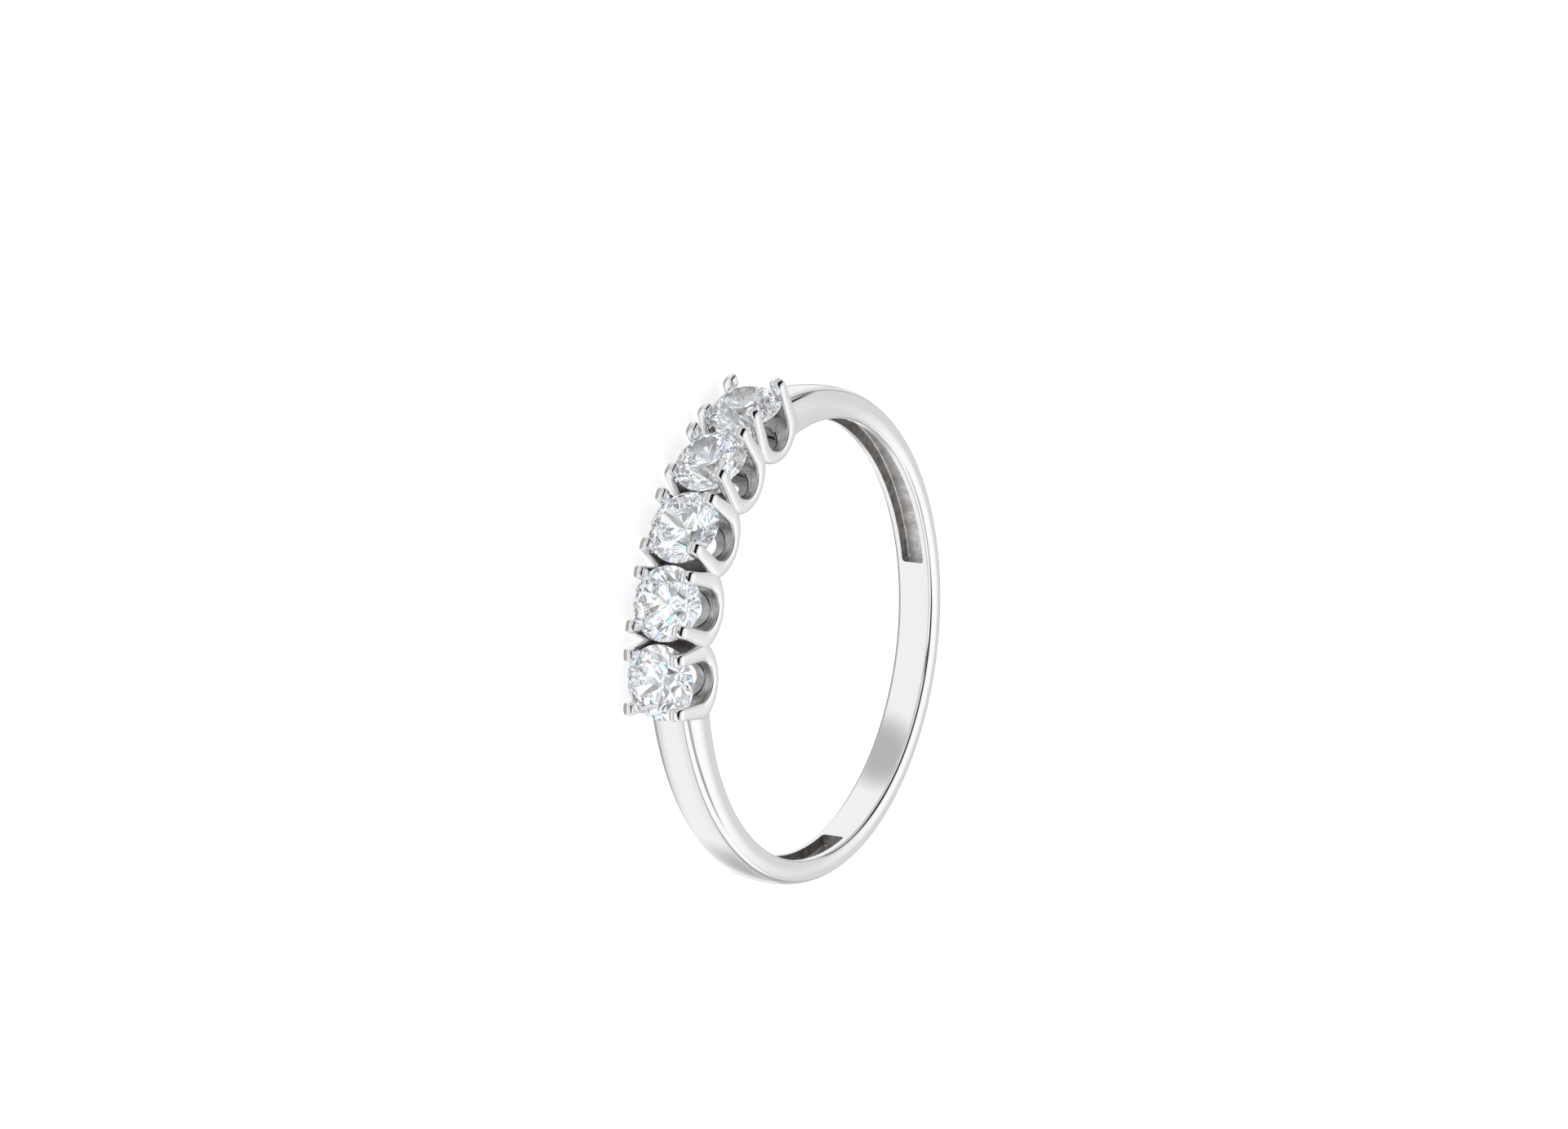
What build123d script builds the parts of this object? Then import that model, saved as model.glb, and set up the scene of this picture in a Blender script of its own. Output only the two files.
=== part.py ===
from build123d import *
import math
import os

# A five stone ring lying on its side, in millimetres. The ring's axis is +Z through the
# middle of the finger hole, and the row of stones faces -Y. A ring angle is measured from
# -Y towards +X. Heights are above the finger hole's wall unless a comment says otherwise.

# Finger hole and shank. The wall and the width fall from the shoulders to the back; the
# larger a fall's power, the nearer to the shoulders it happens.
finger_hole = 17.5
shoulder_wall = 1.60
back_wall = 0.87
shoulder_width = 1.86
back_width = 1.68
wall_fall = 4.5
width_fall = 1.6
shank_sections = 24
shank_crown = 0.12
shank_edge_round = 0.30

# Hollow on the finger side of each half of the shank, from a start to an end ring angle
hollow_side = 0.35
hollow_roof = 0.37
hollow_start = 43.5
hollow_end = 136.5
hollow_corner = 0.14

# Stones, round brilliants. Each is turned a little further about its own axis than the last.
stone_count = 5
stone_diameter = 2.90
stone_gap = 0.03
stone_turn = 9.0
stone_apart = 0.10
culet_over_finger = 0.79
table_share = 0.55
crown_angle = 37.0
pavilion_angle = 40.8
girdle_thickness = 0.09
star_share = 0.50
lower_share = 0.77
facet_count = 8

# Settings, four claws each, with a round bottomed window in each side wall. The bore stock
# is what they reach past the finger wall, which boring the hole takes off.
side_wall = 0.38
claw_turn = 45.0
leg_width = 0.50
leg_lean = 0.08
window_floor = 0.36
claw_over_girdle = 0.78
claw_reach = 0.52
claw_grip = 0.55
claw_bend = 0.36
edge_round = 0.13
scallop_depth = 0.60
notch_under_girdle = 0.72
valley_depth = 0.40
wall_overlap = 0.04
drain_diameter = 0.90
bowl_wall = 0.20
bowl_under_girdle = 0.74
bowl_step = 0.10
bore_stock = 0.04

# The slack of a test of an edge's place, and a circle's degrees
tiny = 0.01

full_turn = 360

# What follows from those sizes
bore_radius = finger_hole / 2
stone_radius = stone_diameter / 2
table_radius = stone_radius * table_share
crown_slope = math.tan(math.radians(crown_angle))
pavilion_slope = math.tan(math.radians(pavilion_angle))
half_girdle = girdle_thickness / 2
table_over_girdle = half_girdle + (stone_radius - table_radius) * crown_slope
culet_under_girdle = half_girdle + stone_radius * pavilion_slope
facet_turn = full_turn / facet_count
aside = math.cos(math.radians(facet_turn / 2))
star_radius = table_radius * aside * (1 - star_share) + stone_radius * star_share
star_height = half_girdle + (stone_radius - star_radius * aside) * crown_slope
low_radius = stone_radius * (1 - lower_share)
low_height = half_girdle + (stone_radius - low_radius * aside) * pavilion_slope
girdle_height = culet_over_finger + culet_under_girdle
claw_top = girdle_height + claw_over_girdle
notch_height = girdle_height - notch_under_girdle
half_pitch = math.degrees(math.atan((stone_diameter + stone_apart) / 2 / (bore_radius + girdle_height)))
pitch = 2 * half_pitch
row_angle = pitch * (stone_count - 1)
claw_middle = stone_radius * math.sin(math.radians(claw_turn))
claw_side = claw_middle + leg_width / 2
window_reach = claw_middle - leg_width / 2 + leg_lean
outer_face = claw_middle + claw_reach / 2 + stone_gap
wall_inside = outer_face - side_wall
claw_inside = outer_face - claw_reach
past_both_sides = 3 * outer_face


def between(low, high, share):
    """The value a share of the way from low to high."""
    return low + (high - low) * share


def ring_plane(angle):
    """The plane through the ring's axis at a ring angle, with x outwards from the axis."""
    turn = math.radians(angle)
    outwards = (math.sin(turn), -math.cos(turn), 0)
    along = (math.cos(turn), math.sin(turn), 0)
    return Plane(origin=(0, 0, 0), x_dir=outwards, z_dir=along)


def seat_plane(angle, height):
    """The plane across a setting at a ring angle, x along the row, z outwards from the finger."""
    turn = math.radians(angle)
    outwards = Vector(math.sin(turn), -math.cos(turn), 0)
    along = (math.cos(turn), math.sin(turn), 0)
    return Plane(origin=outwards * (bore_radius + height), x_dir=along, z_dir=outwards)


def side_plane(level):
    """The plane of the front setting's side walls at a level, x along the row and y outwards."""
    return Plane(origin=(0, -bore_radius, level), x_dir=(1, 0, 0), z_dir=(0, 0, -1))


def half_way(height):
    """Half the spacing of the settings at a height, with a little overlap to the next one."""
    return (bore_radius + height) * math.tan(math.radians(half_pitch)) + wall_overlap


def window_outline(top, lean):
    """The outline of the round bottomed window under a stone, its legs leaning in to the top."""
    spring = window_floor + window_reach
    with BuildLine(Plane.XY) as outline:
        ThreePointArc((-window_reach, spring), (0, window_floor), (window_reach, spring))
        Polyline(
            (window_reach, spring),
            (window_reach - lean, top),
            (lean - window_reach, top),
            (-window_reach, spring),
        )
    return outline.line.edges()


def polished(edge):
    """The long edges of a side wall's outer face, and the edges round its claws' tips."""
    spot = edge.center()
    way = edge.tangent_at(0.5)
    height = -spot.Y - bore_radius
    straight = edge.geom_type == GeomType.LINE
    lengthwise = straight and max(abs(way.X), abs(way.Z)) > 1 - tiny
    on_wall = spot.Z > outer_face - side_wall / 2 and not lengthwise
    on_top = abs(height - claw_top) < tiny and abs(way.Z) > 1 - tiny
    on_tip = abs(spot.Z - claw_inside) < tiny and height > claw_top - claw_grip + tiny
    return on_wall or on_top or on_tip


# One side wall of the front setting, with its window and two claws
with BuildPart() as side:
    with BuildSketch(side_plane(outer_face)):
        with BuildLine():
            claw_start = claw_top - claw_grip
            ThreePointArc(
                (-half_way(scallop_depth), scallop_depth),
                (0, -bore_stock),
                (half_way(scallop_depth), scallop_depth),
            )
            Polyline(
                (half_way(scallop_depth), scallop_depth),
                (half_way(notch_height), notch_height),
                (claw_side, claw_start),
                (claw_side, claw_top),
                (-claw_side, claw_top),
                (-claw_side, claw_start),
                (-half_way(notch_height), notch_height),
                (-half_way(scallop_depth), scallop_depth),
            )
        make_face()
        make_face(window_outline(claw_top, leg_lean), mode=Mode.SUBTRACT)
    extrude(amount=claw_reach)

    # seen along the row, the upright wall bends in over the stone
    with BuildSketch(Plane(origin=(0, -bore_radius, 0), x_dir=(0, 0, 1), z_dir=(1, 0, 0))):
        with BuildLine():
            bend_start = (outer_face, claw_top - claw_bend)
            bend_end = (outer_face - claw_bend, claw_top)
            Polyline(
                bend_end,
                (claw_inside, claw_top),
                (claw_inside, claw_top - claw_grip),
                (wall_inside, claw_top - claw_grip - claw_reach + side_wall),
                (wall_inside, -2 * bore_stock),
                (outer_face, -2 * bore_stock),
                bend_start,
            )
            RadiusArc(bend_start, bend_end, -claw_bend)
        make_face()
    extrude(amount=2 * stone_radius, both=True, mode=Mode.INTERSECT)
    fillet(side.edges().filter_by(polished), edge_round)

# The front setting: two side walls, joined under the stone by webs and a floor
with BuildPart() as setting:
    with BuildSketch(side_plane(wall_inside)):
        with BuildLine():
            valley = notch_height - valley_depth
            ThreePointArc(
                (-half_way(scallop_depth), scallop_depth),
                (0, -bore_stock),
                (half_way(scallop_depth), scallop_depth),
            )
            Polyline(
                (half_way(scallop_depth), scallop_depth),
                (half_way(valley), valley),
                (half_way(notch_height) - valley_depth, notch_height),
                (valley_depth - half_way(notch_height), notch_height),
                (-half_way(valley), valley),
                (-half_way(scallop_depth), scallop_depth),
            )
        make_face()
        make_face(window_outline(claw_top, 0), mode=Mode.SUBTRACT)
    extrude(amount=2 * wall_inside)
    add(side.part)
    mirror(about=Plane.XY, objects=side.part)

# What is cut out under and round each stone: its seat, a little larger than the stone,
# a stepped bowl under it and a drain through to the finger
with BuildPart() as seat:
    seat_radius = stone_radius + stone_gap
    with BuildSketch(ring_plane(0)):
        with BuildLine():
            level = bore_radius + girdle_height
            Polyline(
                (level - culet_under_girdle - stone_gap * pavilion_slope, 0),
                (level - half_girdle, seat_radius),
                (level + half_girdle + stone_gap, seat_radius),
                (level + star_height + stone_gap, star_radius),
                (level + table_over_girdle + stone_gap, table_radius),
                (level + table_over_girdle + stone_gap, 0),
                close=True,
            )
        make_face()
    revolve(axis=Axis.Y)
    with Locations(seat_plane(0, girdle_height - bowl_under_girdle)):
        Sphere(window_reach + bowl_wall)
    with BuildSketch(seat_plane(0, window_floor - bowl_step)):
        Circle(window_reach)
    extrude(amount=girdle_height / 2)
    with BuildSketch(seat_plane(0, 0)):
        Circle(drain_diameter / 2)
    extrude(amount=girdle_height / 2, both=True)

# The shank, lofted from inside one end setting's web round the back to the other. Its wall
# and width fall from their shoulder values to their back values, at first quickly.
web_start = math.degrees(math.atan(window_reach / (bore_radius + notch_height)))
shank_start = row_angle / 2 + (web_start + half_pitch) / 2
with BuildPart() as shank:
    for section_number in range(shank_sections + 1):
        way = section_number / shank_sections
        from_back = abs(1 - 2 * way)
        outside = bore_radius + between(back_wall, shoulder_wall, from_back**wall_fall)
        inside = bore_radius - back_wall / 2
        half_width = between(back_width, shoulder_width, from_back**width_fall) / 2
        with BuildSketch(ring_plane(between(shank_start, full_turn - shank_start, way))) as section:
            with BuildLine():
                Polyline(
                    (outside, -half_width),
                    (inside, -half_width),
                    (inside, half_width),
                    (outside, half_width),
                )
                ThreePointArc(
                    (outside, half_width),
                    (outside + shank_crown, 0),
                    (outside, -half_width),
                )
            make_face()
            fillet(section.vertices().group_by(Axis.X)[-1], shank_edge_round)
    loft()

# The hollow in one half of the shank, a turned rectangle with rounded ends
with BuildPart() as hollow:
    with BuildSketch(ring_plane(hollow_start)):
        with Locations((bore_radius, 0)):
            Rectangle(2 * (back_wall - hollow_roof), back_width - 2 * hollow_side)
    revolve(axis=Axis.Z, revolution_arc=hollow_end - hollow_start)
    fillet(hollow.edges().filter_by(GeomType.LINE).filter_by(Axis.Z, reverse=True), hollow_corner)

# All the metal is one casting: the settings side by side and the shank, less the seats,
# the finger hole and the hollows
with BuildPart() as ring_band:
    with PolarLocations(0, stone_count, -row_angle / 2, row_angle, endpoint=True):
        add(setting.part)
    add(shank.part)
    with PolarLocations(0, stone_count, -row_angle / 2, row_angle, endpoint=True):
        add(seat.part, mode=Mode.SUBTRACT)
    Cylinder(bore_radius, past_both_sides, mode=Mode.SUBTRACT)
    add(hollow.part, mode=Mode.SUBTRACT)
    mirror(about=Plane.YZ, objects=hollow.part, mode=Mode.SUBTRACT)


# A stone is cut from a round blank by the plane of each facet. Its own frame has the
# girdle in the XY plane and the table up.
def stone_point(turn, radius, height):
    """A point of the stone at a turn about its axis."""
    angle = math.radians(turn)
    return Vector(radius * math.cos(angle), radius * math.sin(angle), height)


def facet(first, second, third):
    """The plane through three points of a facet, facing away from the stone's middle."""
    normal = (second - first).cross(third - first).normalized()
    return Plane(origin=first, z_dir=normal if normal.dot(first) > 0 else -normal)


def brilliant_facets():
    """The planes of all facets but the table: mains, stars and the facets along the girdle."""
    half_turn = facet_turn / 2
    for number in range(facet_count):
        turn = facet_turn * number
        rim = stone_point(turn, stone_radius, half_girdle)
        low_rim = stone_point(turn, stone_radius, -half_girdle)
        corner = stone_point(turn, table_radius, table_over_girdle)
        next_corner = stone_point(turn + facet_turn, table_radius, table_over_girdle)
        star = stone_point(turn + half_turn, star_radius, star_height)
        low = stone_point(turn + half_turn, low_radius, -low_height)
        yield facet(rim, corner, star)
        yield facet(low_rim, stone_point(0, 0, -culet_under_girdle), low)
        yield facet(corner, next_corner, star)
        for side_turn in (turn + half_turn, turn - half_turn):
            yield facet(
                rim,
                stone_point(side_turn, stone_radius, half_girdle),
                stone_point(side_turn, star_radius, star_height),
            )
            yield facet(
                low_rim,
                stone_point(side_turn, stone_radius, -half_girdle),
                stone_point(side_turn, low_radius, -low_height),
            )


with BuildPart() as brilliant:
    with BuildSketch(Plane.XY.offset(-culet_under_girdle)):
        Circle(stone_radius)
    extrude(amount=culet_under_girdle + table_over_girdle)
    for plane in brilliant_facets():
        split(bisect_by=plane, keep=Keep.BOTTOM)

os.makedirs("parts", exist_ok=True)
ring_band.part.label = "ring_band"
export_step(ring_band.part, "parts/ring_band.step")
for number in range(stone_count):
    with BuildPart(seat_plane(pitch * number - row_angle / 2, girdle_height)) as stone:
        with Locations(Location((0, 0, 0), (0, 0, stone_turn * number))):
            add(brilliant.part)
    stone.part.label = f"stone_{number + 1}"
    export_step(stone.part, f"parts/{stone.part.label}.step")
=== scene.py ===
"""The five stone ring's finish: its polished and cast metal, its painted shade deep inside, its cut
stones and its studio.
"""

import math

import bmesh
import bpy
from bpy.props import FloatProperty, FloatVectorProperty, IntProperty, PointerProperty
from bpy.types import Operator, Panel, PropertyGroup
from mathutils import Matrix, Vector


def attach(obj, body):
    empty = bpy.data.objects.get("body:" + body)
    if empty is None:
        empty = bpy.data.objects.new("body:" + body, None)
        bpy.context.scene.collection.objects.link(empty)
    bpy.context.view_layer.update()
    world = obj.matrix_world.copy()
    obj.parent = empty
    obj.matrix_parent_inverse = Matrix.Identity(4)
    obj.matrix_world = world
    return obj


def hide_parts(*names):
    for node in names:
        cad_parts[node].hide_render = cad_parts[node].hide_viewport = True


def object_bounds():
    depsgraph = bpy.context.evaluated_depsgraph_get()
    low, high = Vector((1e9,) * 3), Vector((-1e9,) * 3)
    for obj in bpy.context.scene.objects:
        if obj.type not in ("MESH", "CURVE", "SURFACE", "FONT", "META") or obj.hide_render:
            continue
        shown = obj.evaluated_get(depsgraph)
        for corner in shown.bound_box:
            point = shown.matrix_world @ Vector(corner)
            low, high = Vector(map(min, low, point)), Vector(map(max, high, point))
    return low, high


bl_info = {
    "name": "Five stone ring",
    "version": (1, 0, 0),
    "blender": (4, 5, 0),
    "location": "View3D > Sidebar > Ring",
    "description": "Finishes a five stone ring and sets it in a white studio",
    "category": "Object",
}

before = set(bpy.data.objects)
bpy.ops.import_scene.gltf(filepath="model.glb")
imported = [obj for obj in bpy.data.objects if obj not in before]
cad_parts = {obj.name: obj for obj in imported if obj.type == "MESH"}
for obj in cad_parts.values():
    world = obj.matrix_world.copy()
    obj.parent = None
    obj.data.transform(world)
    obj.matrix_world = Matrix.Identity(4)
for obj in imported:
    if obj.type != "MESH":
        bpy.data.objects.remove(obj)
CAD_LOW, CAD_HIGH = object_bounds()

MM = 0.001
QUARTER_TURN = math.pi / 2
STONES = [f"stone_{number}" for number in range(1, 6)]

# How finely the round shapes are divided
SECTION_POINTS = 36
TIP_STEPS = 7
BEND_STEPS = 16
LEG_STEPS = 12
WINDOW_STEPS = 56
BAND_STEPS = 560
EDGE_STEPS = 12
SMALL_STEPS = 6
CROWN_STEPS = 20
HOLLOW_STEPS = 90
ROOM_STEPS = 60
ROUND_POINTS = 120

# Edges that turn by more than this many degrees stay sharp
SHARP_ANGLE = 40

# The finishes that a face of the metal can have, the last of them painted shade deep inside,
# and their materials by the names of the inputs through which the node trees take them
POLISHED, CAST, PAINTED_SHADE = range(3)
METALS = {"Polished": "band_polish", "Cast": "band_cast", "Recess": "band_recess"}

# The turn of the claws about their stone
CLAW_TURN = math.radians(45)


# Sizes


def length(name, description, millimetres):
    """A length that a user may change, in metres, with its default given in millimetres."""
    return FloatProperty(
        name=name,
        description=description,
        default=millimetres * MM,
        subtype="DISTANCE",
        precision=6,
    )


def angle(name, description, degrees):
    """An angle that a user may change, with its default given in degrees."""
    return FloatProperty(
        name=name, description=description, default=math.radians(degrees), subtype="ANGLE"
    )


def amount(name, description, default):
    """A plain amount that a user may change, such as a power or a brightness."""
    return FloatProperty(name=name, description=description, default=default)


def part_of_one(name, description, default):
    """A share from 0 to 1 that a user may change."""
    return FloatProperty(
        name=name, description=description, default=default, min=0.0, max=1.0, subtype="FACTOR"
    )


def paint(name, description, default):
    """A colour that a user may change."""
    return FloatVectorProperty(name=name, description=description, default=default, subtype="COLOR")


class RingSizes(PropertyGroup):
    """The sizes of the band, the stones and the settings"""

    finger_hole: length("Finger hole", "Diameter of the hole for the finger", 17.5)
    shoulder_wall: length("Shoulder wall", "Thickness of the band beside the settings", 1.60)
    back_wall: length("Back wall", "Thickness of the band at its back", 0.87)
    shoulder_width: length("Shoulder width", "Width of the band beside the settings", 1.86)
    back_width: length("Back width", "Width of the band at its back", 1.68)
    wall_fall: amount("Wall fall", "How early the wall gets thin", 4.5)
    width_fall: amount("Width fall", "How early the band gets narrow", 1.6)
    band_crown: length("Band crown", "Rise of the middle of the band's outer face", 0.117)
    shoulder_edge: length("Shoulder edge", "Rounding of the outer edges beside the settings", 0.34)
    back_edge: length("Back edge", "Rounding of the outer edges at the back", 0.20)
    side_dome: length("Side dome", "How far the band's side faces bulge", 0.08)
    inner_edge: length("Inner edge", "Rounding of the band's edges on the finger", 0.13)
    hollow_width: length("Hollow width", "Width of the hollow under each half of the band", 0.98)
    hollow_depth: length("Hollow depth", "Depth of that hollow", 0.50)
    hollow_corner: length("Hollow corner", "Rounding of the hollow's corners", 0.14)
    hollow_start: angle("Hollow start", "Where the hollow starts, from the middle stone", 43.5)
    hollow_end: angle("Hollow end", "Where the hollow ends, from the middle stone", 136.5)
    stone_count: IntProperty(
        name="Stones", description="How many stones the ring has", default=5, min=1
    )
    stone_diameter: length("Stone diameter", "Diameter of each stone", 2.90)
    stone_apart: length("Stone spacing", "Space between two stones", 0.10)
    stone_gap: length("Stone gap", "Space between a stone and its seat", 0.03)
    girdle: length("Girdle", "Thickness of a stone's rim", 0.09)
    culet_height: length("Culet height", "A stone's point above the finger", 0.79)
    crown_angle: angle("Crown angle", "Slope of the upper part of a stone", 37.0)
    pavilion_angle: angle("Pavilion angle", "Slope of the lower part of a stone", 40.8)
    table_share: part_of_one("Table share", "Table of a stone to its diameter", 0.55)
    side_wall: length("Side wall", "Thickness of a setting's side walls", 0.38)
    leg_width: length("Leg width", "Width of a claw", 0.50)
    leg_lean: length("Leg lean", "How far a leg leans in", 0.08)
    window_rim: length("Window rim", "How far the side walls stand into their windows", 0.08)
    window_floor: length("Window floor", "Height of a window above the finger", 0.36)
    claw_over: length("Claw height", "Height of a claw over the stone's rim", 0.78)
    claw_reach: length("Claw reach", "How far a claw reaches over its stone", 0.52)
    claw_grip: length("Claw depth", "Thickness of a claw over its stone", 0.55)
    claw_bend: length("Claw bend", "Radius of a claw's bend", 0.36)
    tip_round: length("Claw tip", "Rounding of a claw's tip", 0.16)
    scallop: length("Scallop", "Depth of the arches under the settings", 0.60)
    notch_under: length("Notch depth", "Depth of the notch between two settings", 0.72)
    valley_depth: length("Valley depth", "Depth of the valley between two stones", 0.40)
    joint: length("Joint", "How far a setting reaches into the next one", 0.10)
    drain: length("Drain", "Diameter of the hole under each stone", 0.90)
    bowl_wall: length("Bowl wall", "How much wider the bowl is than the window", 0.20)
    bowl_under: length("Bowl depth", "Middle of the round bowl under the stone's rim", 0.74)
    bowl_step: length("Bowl step", "Step at the bottom of the bowl", 0.10)
    groove: length("Groove", "Width of the groove round the bottom of the bowl", 0.06)


class Shape:
    """Heights above the finger hole's wall, places and angles that follow from the sizes."""

    def __init__(self, sizes):
        self.sizes = sizes
        self.bore = sizes.finger_hole / 2
        self.stone = sizes.stone_diameter / 2
        self.pavilion_slope = math.tan(sizes.pavilion_angle)
        self.crown_slope = math.tan(sizes.crown_angle)
        self.girdle = sizes.culet_height + sizes.girdle / 2 + self.stone * self.pavilion_slope
        self.claw_top = self.girdle + sizes.claw_over
        self.claw_low = self.claw_top - sizes.claw_grip
        self.notch = self.girdle - sizes.notch_under
        half_space = self.stone + sizes.stone_apart / 2
        self.half_pitch = math.atan(half_space / (self.bore + self.girdle))
        claw_middle = self.stone * math.sin(CLAW_TURN)
        self.claw_side = claw_middle + sizes.leg_width / 2
        self.window = claw_middle - sizes.leg_width / 2 + sizes.leg_lean
        self.rim = self.window - sizes.window_rim
        self.spring = sizes.window_floor + self.window
        self.outer = claw_middle + sizes.claw_reach / 2 + sizes.stone_gap
        self.inner = self.outer - sizes.side_wall
        self.tip = self.outer - sizes.claw_reach
        web_start = math.atan(self.window / (self.bore + self.notch))
        row_turn = 2 * self.half_pitch * (sizes.stone_count - 1)
        self.band_start = row_turn / 2 + (web_start + self.half_pitch) / 2

    def half_way(self, height):
        """Half the spacing of the settings at a height."""
        return (self.bore + height) * math.tan(self.half_pitch)


def between(low, high, share):
    """The value a share of the way from low to high."""
    return low + (high - low) * share


def smooth(share):
    """A share from 0 to 1 that starts and ends slowly."""
    share = min(1.0, max(0.0, share))
    return share * share * (3 - 2 * share)


# Making meshes


def joined_sections(name, runs, finish_or_shade_of):
    """A piece of closed runs of sections, each face marked with its finish or painted shade.

    finish_or_shade_of gives the finish or painted shade for a face's step along its run and its
    number round the section, and for step -1 that of the two ends of a run.
    """
    work = bmesh.new()
    finish = work.faces.layers.int.new("finish")
    for sections in runs:
        rings = [[work.verts.new(point) for point in section] for section in sections]
        size = len(rings[0])
        for step, (first, second) in enumerate(zip(rings, rings[1:])):
            for number in range(size):
                following = (number + 1) % size
                corners = (first[number], first[following], second[following], second[number])
                face = work.faces.new(corners)
                face[finish] = finish_or_shade_of(step, number)
        for ring in (rings[0], rings[-1]):
            face = work.faces.new(ring)
            face[finish] = finish_or_shade_of(-1, 0)
    bmesh.ops.recalc_face_normals(work, faces=work.faces)
    mesh = bpy.data.meshes.new(name)
    work.to_mesh(mesh)
    work.free()
    piece = bpy.data.objects.new(name, mesh)
    bpy.context.scene.collection.objects.link(piece)
    return piece


def make_plain(piece):
    """Turn a piece's modifiers into its plain mesh, smooth but for its sharp edges."""
    graph = bpy.context.evaluated_depsgraph_get()
    mesh = bpy.data.meshes.new_from_object(piece.evaluated_get(graph))
    if not mesh.polygons:
        raise RuntimeError(f"{piece.name} came out empty")
    old = piece.data
    piece.modifiers.clear()
    piece.data = mesh
    mesh.name = piece.name
    bpy.data.meshes.remove(old)
    mesh.shade_smooth()
    mesh.set_sharp_from_angle(angle=math.radians(SHARP_ANGLE))


def remove(piece):
    """Take a helper piece out of the file."""
    mesh = piece.data
    bpy.data.objects.remove(piece)
    bpy.data.meshes.remove(mesh)


# Node trees


def add_node(tree, kind, values=None, **settings):
    """A new node of a tree, with its settings and the values or links of its inputs."""
    node = tree.nodes.new(kind)
    for name, value in settings.items():
        setattr(node, name, value)
    for name, value in (values or {}).items():
        if isinstance(value, bpy.types.NodeSocket):
            tree.links.new(value, node.inputs[name])
        else:
            node.inputs[name].default_value = value
    return node


def calculate(tree, operation, first, second=0.0, third=0.0):
    """The output of a Math node."""
    values = {0: first, 1: second, 2: third}
    return add_node(tree, "ShaderNodeMath", values, operation=operation).outputs[0]


def blend(tree, factor, first, second):
    """A value moved from a first to a second one by a factor."""
    values = {"Factor": factor, "A": first, "B": second}
    return add_node(tree, "ShaderNodeMix", values).outputs["Result"]


def blend_colour(tree, factor, first, second):
    """A colour moved from a first to a second one by a factor."""
    values = {"Factor": factor, "A": first, "B": second}
    return add_node(tree, "ShaderNodeMix", values, data_type="RGBA").outputs["Result"]


def split(tree, vector):
    """The three outputs of a node that takes a vector apart."""
    return add_node(tree, "ShaderNodeSeparateXYZ", {0: vector}).outputs[:3]


def join(tree, x, y, z):
    """A vector put together from its three parts."""
    return add_node(tree, "ShaderNodeCombineXYZ", {0: x, 1: y, 2: z}).outputs[0]


def stored(tree, name, kind):
    """The output that reads an attribute of a node tree's mesh."""
    node = add_node(tree, "GeometryNodeInputNamedAttribute", {"Name": name}, data_type=kind)
    return node.outputs["Attribute"]


def other_piece(tree, given):
    """The geometry of a piece that comes in through an input."""
    return add_node(tree, "GeometryNodeObjectInfo", {"Object": given}).outputs["Geometry"]


def cut_out(tree, body, rooms):
    """A body less the rooms that are cut out of it."""
    cut = add_node(tree, "GeometryNodeMeshBoolean", operation="DIFFERENCE", solver="EXACT")
    tree.links.new(body, cut.inputs[0])
    for room in rooms:
        tree.links.new(room, cut.inputs[1])
    return cut.outputs[0]


def new_geometry_tree(name, inputs):
    """A Geometry Nodes tree with inputs for a geometry, for named values and for the metals.

    Its two end nodes come with it.
    """
    tree = bpy.data.node_groups.new(name, "GeometryNodeTree")
    tree.interface.new_socket("Geometry", in_out="INPUT", socket_type="NodeSocketGeometry")
    for label, kind in (inputs | dict.fromkeys(METALS, "Material")).items():
        tree.interface.new_socket(label, in_out="INPUT", socket_type=f"NodeSocket{kind}")
    tree.interface.new_socket("Geometry", in_out="OUTPUT", socket_type="NodeSocketGeometry")
    return tree, tree.nodes.new("NodeGroupInput"), tree.nodes.new("NodeGroupOutput")


def use_tree(piece, tree, values):
    """Put a Geometry Nodes tree on a piece, with the metals and the values of its other inputs."""
    values = values | {label: shared_material(name) for label, name in METALS.items()}
    modifier = piece.modifiers.new(tree.name, "NODES")
    modifier.node_group = tree
    for item in tree.interface.items_tree:
        if item.in_out == "INPUT" and item.name in values:
            modifier[item.identifier] = values[item.name]


def finish_tree(tree, start, end, geometry):
    """Give each face of a tree's geometry the metal of its finish or its painted shade and join it
    to the output.
    """
    geometry = add_node(tree, "GeometryNodeRealizeInstances", {0: geometry}).outputs[0]
    finish = stored(tree, "finish", "FLOAT")
    for level, label in enumerate(METALS):
        chosen = calculate(tree, "GREATER_THAN", finish, level - 0.5)
        geometry = add_node(
            tree,
            "GeometryNodeSetMaterial",
            {"Geometry": geometry, "Selection": chosen, "Material": start.outputs[label]},
        ).outputs[0]
    tree.links.new(geometry, end.inputs[0])


# Materials


def ramp(tree, value, low, high, at_low=0.0, at_high=1.0):
    """A value moved smoothly from one level to another as it passes between two limits."""
    node = add_node(
        tree,
        "ShaderNodeMapRange",
        {"Value": value, "From Min": low, "From Max": high, "To Min": at_low, "To Max": at_high},
        interpolation_type="SMOOTHSTEP",
    )
    return node.outputs["Result"]


def new_material(name):
    """A material with an empty tree and its output node."""
    material = bpy.data.materials.new(name)
    material.use_nodes = True
    tree = material.node_tree
    tree.nodes.clear()
    return material, tree, add_node(tree, "ShaderNodeOutputMaterial")


def noise(tree, coordinates, scale, detail=2.0, stretch=(1.0, 1.0, 1.0)):
    """The factor of a noise pattern, its scale given in patches to a unit of the coordinates."""
    placed = add_node(tree, "ShaderNodeMapping", {"Vector": coordinates, "Scale": stretch})
    values = {"Vector": placed.outputs[0], "Scale": scale, "Detail": detail}
    return add_node(tree, "ShaderNodeTexNoise", values).outputs[0]


def relief(tree, height, strength, distance):
    """The normals of a surface with a fine relief, its full depth given in millimetres."""
    values = {"Height": height, "Strength": strength, "Distance": distance * MM}
    return add_node(tree, "ShaderNodeBump", values).outputs[0]


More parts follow.
